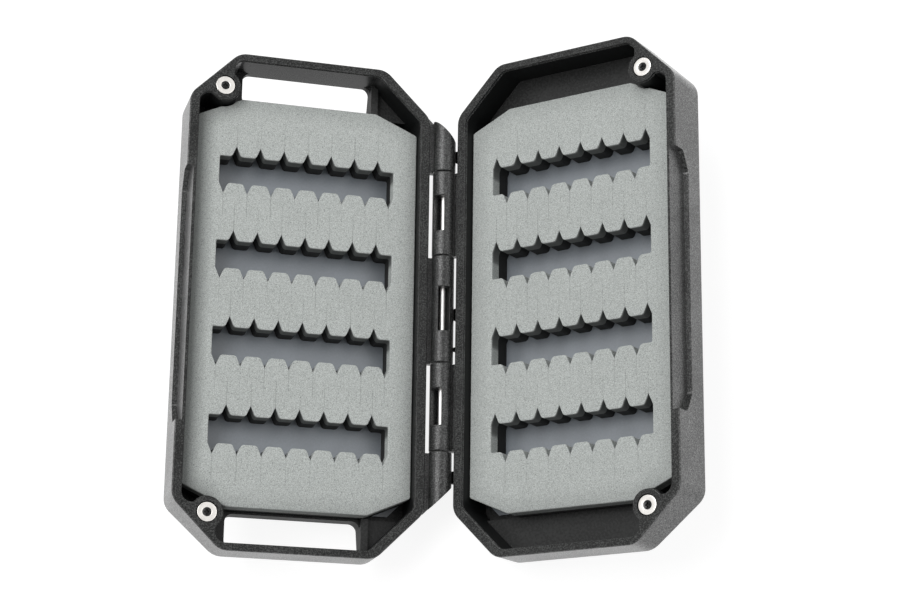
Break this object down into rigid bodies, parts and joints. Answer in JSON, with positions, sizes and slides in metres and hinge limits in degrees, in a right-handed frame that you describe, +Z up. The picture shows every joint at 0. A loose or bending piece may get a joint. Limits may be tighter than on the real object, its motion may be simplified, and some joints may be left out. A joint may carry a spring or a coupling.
{
  "type": "fly box",
  "caption": "Slim two-leaf fly box with cut corners, a pinned hinge, slotted foam inserts and magnet closure, standing open in a shallow V.",
  "frame": {"origin": "middle of the footprint on the floor, below the hinge pin", "axes": "+Y along the hinge pin, +X from the hinge towards the lid half, +Z up from the floor"},
  "size_m": [0.1656, 0.1604, 0.0472],
  "materials": {
    "shell": "fine moulded texture, charcoal",
    "foam_grey": "closed-cell foam, speckled pale grey",
    "foam_black": "closed-cell foam, black",
    "backing_sheet": "smooth, satin, blue-grey",
    "adhesive": "clear film",
    "magnet": "bright nickel plating",
    "screw_steel": "bright",
    "pin_steel": "drawn, bright"
  },
  "bodies": {
    "base": {"base_shell": "shell", "hinge_pin": "pin_steel", "base_adhesive_film": "adhesive", "base_backing_sheet": "backing_sheet", "base_foam_black": "foam_black", "base_foam_grey": "foam_grey", "base_magnet_a": "magnet", "base_magnet_b": "magnet", "base_magnet_screw_a": "screw_steel", "base_magnet_screw_b": "screw_steel"},
    "lid": {"lid_shell": "shell", "lid_adhesive_film": "adhesive", "lid_backing_sheet": "backing_sheet", "lid_foam_black": "foam_black", "lid_foam_grey": "foam_grey", "lid_magnet_a": "magnet", "lid_magnet_b": "magnet", "lid_magnet_screw_a": "screw_steel", "lid_magnet_screw_b": "screw_steel"}
  },
  "joints": [
    {"name": "lid_hinge", "type": "hinge", "parent": "base", "child": "lid", "pos_m": [0, 0, 0.01331], "axis": [0, -1, 0], "range_deg": [-48.35, 131.65]}
  ]
}
